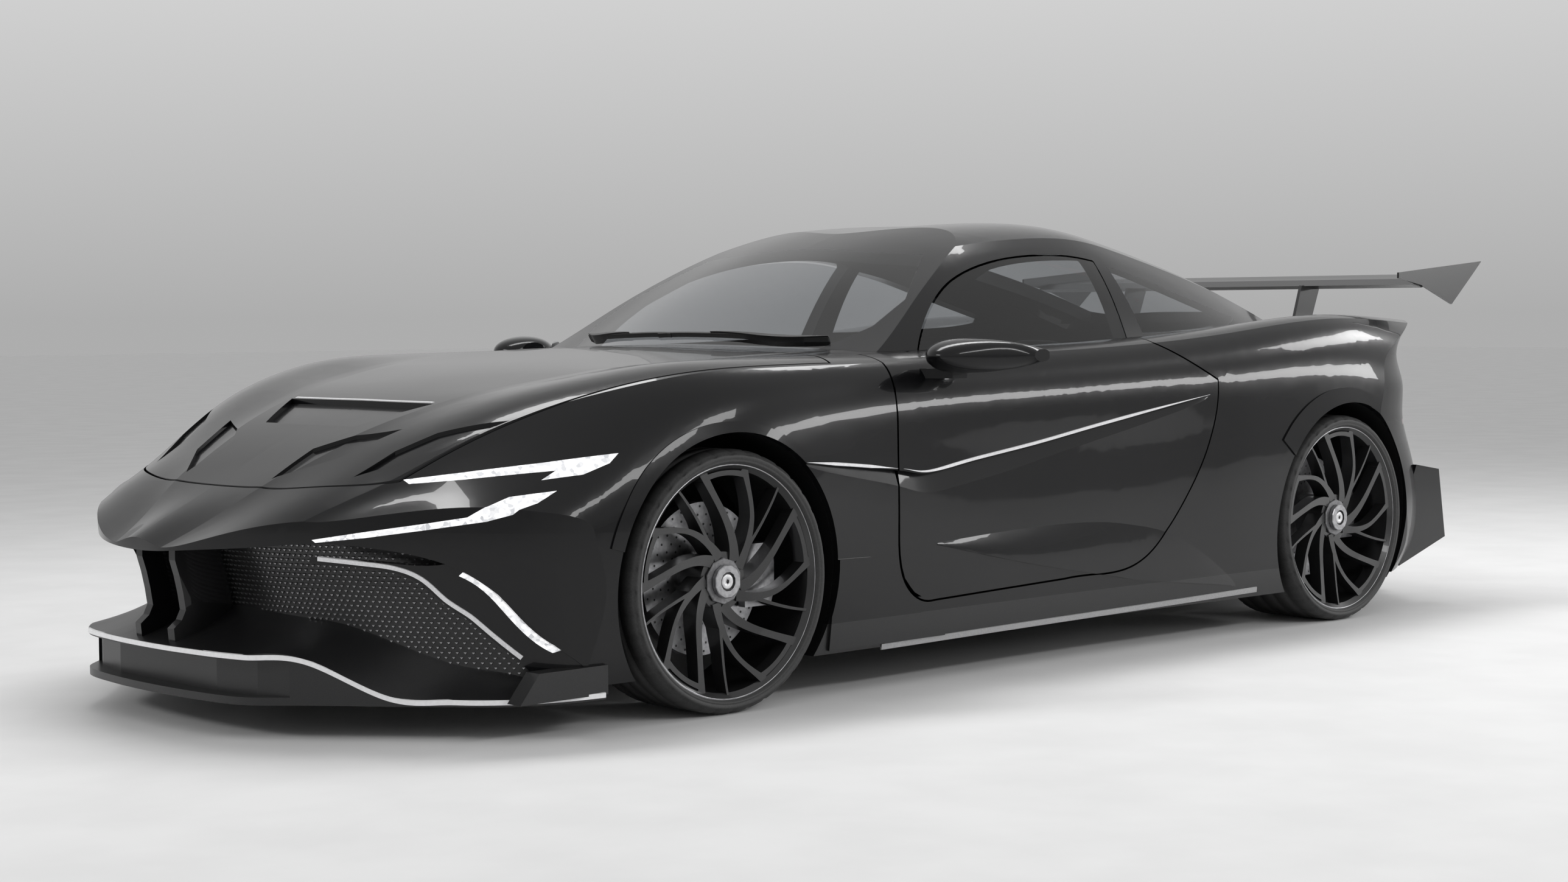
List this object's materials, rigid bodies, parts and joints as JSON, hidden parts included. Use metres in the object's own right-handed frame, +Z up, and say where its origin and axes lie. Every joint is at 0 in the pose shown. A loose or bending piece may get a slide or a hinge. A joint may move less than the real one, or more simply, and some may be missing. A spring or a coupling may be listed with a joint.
{
  "type": "hypercar",
  "caption": "Low two-door grand touring hypercar with long bonnet, fastback roof, opening doors and lids, steering and rolling wheels, and a rear wing.",
  "frame": {"origin": "on the ground below the middle of the whole car's bounding box", "axes": "+X forward, +Y to the car's left, +Z up"},
  "size_m": [5.0384, 2.3, 1.3514],
  "materials": {
    "paint": "gloss",
    "black_trim": "satin",
    "glass": "tinted",
    "chassis": "matte",
    "steel": "machined",
    "engine": "cast",
    "cabin_plastic": "grained",
    "leather": "grained",
    "lamp_clear": "clear",
    "lamp_red": "gloss",
    "rim": "satin",
    "tyre": "rubber",
    "carbon": "gloss"
  },
  "bodies": {
    "body": {"front_bumper": "paint", "front_fender_left": "paint", "front_fender_right": "paint", "cowl_panel": "black_trim", "rear_bumper": "paint", "rear_quarter_left": "paint", "rear_quarter_right": "paint", "side_skirts": "black_trim", "roof_frame": "paint", "windscreen": "glass", "rear_window": "glass", "quarter_glass": "glass", "floor_tub": "chassis", "wheel_liners": "black_trim", "front_suspension": "steel", "rear_axle": "steel", "engine_block": "engine", "dashboard": "cabin_plastic", "front_seats": "leather", "rear_seats": "leather", "front_splitter": "black_trim", "grille_mesh": "black_trim", "rear_diffuser": "black_trim", "headlamps": "lamp_clear", "tail_lamps": "lamp_red"},
    "bonnet": {"bonnet": "paint"},
    "boot_lid": {"boot_lid": "paint", "rear_wing": "carbon"},
    "door_left": {"door_left": "paint", "door_glass_left": "glass", "mirror_left": "paint"},
    "door_right": {"door_right": "paint", "door_glass_right": "glass", "mirror_right": "paint"},
    "knuckle_left": {"knuckle_left": "steel"},
    "knuckle_right": {"knuckle_right": "steel"},
    "wheel_front_left": {"wheel_front_left": "rim", "tyre_front_left": "tyre"},
    "wheel_front_right": {"wheel_front_right": "rim", "tyre_front_right": "tyre"},
    "wheel_rear_left": {"wheel_rear_left": "rim", "tyre_rear_left": "tyre"},
    "wheel_rear_right": {"wheel_rear_right": "rim", "tyre_rear_right": "tyre"},
    "steering_wheel": {"steering_wheel": "cabin_plastic"}
  },
  "joints": [
    {"name": "door_left_swing", "type": "hinge", "parent": "body", "child": "door_left", "pos_m": [0.754, 0.8998, 0.5], "axis": [0, 0, -1], "range_deg": [0, 62]},
    {"name": "door_right_swing", "type": "hinge", "parent": "body", "child": "door_right", "pos_m": [0.754, -0.8998, 0.5], "axis": [0, 0, 1], "range_deg": [0, 62]},
    {"name": "bonnet_lift", "type": "hinge", "parent": "body", "child": "bonnet", "pos_m": [0.74, 0, 0.896], "axis": [0, -1, 0], "range_deg": [0, 50]},
    {"name": "boot_lift", "type": "hinge", "parent": "body", "child": "boot_lid", "pos_m": [-1.9, 0, 0.966], "axis": [0, 1, 0], "range_deg": [0, 45]},
    {"name": "steer_left", "type": "hinge", "parent": "body", "child": "knuckle_left", "pos_m": [1.32, 0.7805, 0.35], "axis": [0, 0, 1], "range_deg": [-30, 30]},
    {"name": "steer_right", "type": "hinge", "parent": "body", "child": "knuckle_right", "pos_m": [1.32, -0.7805, 0.35], "axis": [0, 0, 1], "range_deg": [-30, 30]},
    {"name": "steering_turn", "type": "hinge", "parent": "body", "child": "steering_wheel", "pos_m": [0.14, 0.37, 0.77], "axis": [-0.9135, 0, 0.4067], "range_deg": [-420, 420]},
    {"name": "wheel_front_left_spin", "type": "hinge", "parent": "knuckle_left", "child": "wheel_front_left", "pos_m": [1.32, 0.8355, 0.35], "axis": [0, 1, 0], "continuous": true},
    {"name": "wheel_front_right_spin", "type": "hinge", "parent": "knuckle_right", "child": "wheel_front_right", "pos_m": [1.32, -0.8355, 0.35], "axis": [0, 1, 0], "continuous": true},
    {"name": "wheel_rear_left_spin", "type": "hinge", "parent": "body", "child": "wheel_rear_left", "pos_m": [-1.51, 0.8105, 0.35], "axis": [0, 1, 0], "continuous": true},
    {"name": "wheel_rear_right_spin", "type": "hinge", "parent": "body", "child": "wheel_rear_right", "pos_m": [-1.51, -0.8105, 0.35], "axis": [0, 1, 0], "continuous": true}
  ],
  "couplings": [
    {"joint": "steer_right", "follows": "steer_left", "ratio": 1},
    {"joint": "steering_turn", "follows": "steer_left", "ratio": 14}
  ]
}
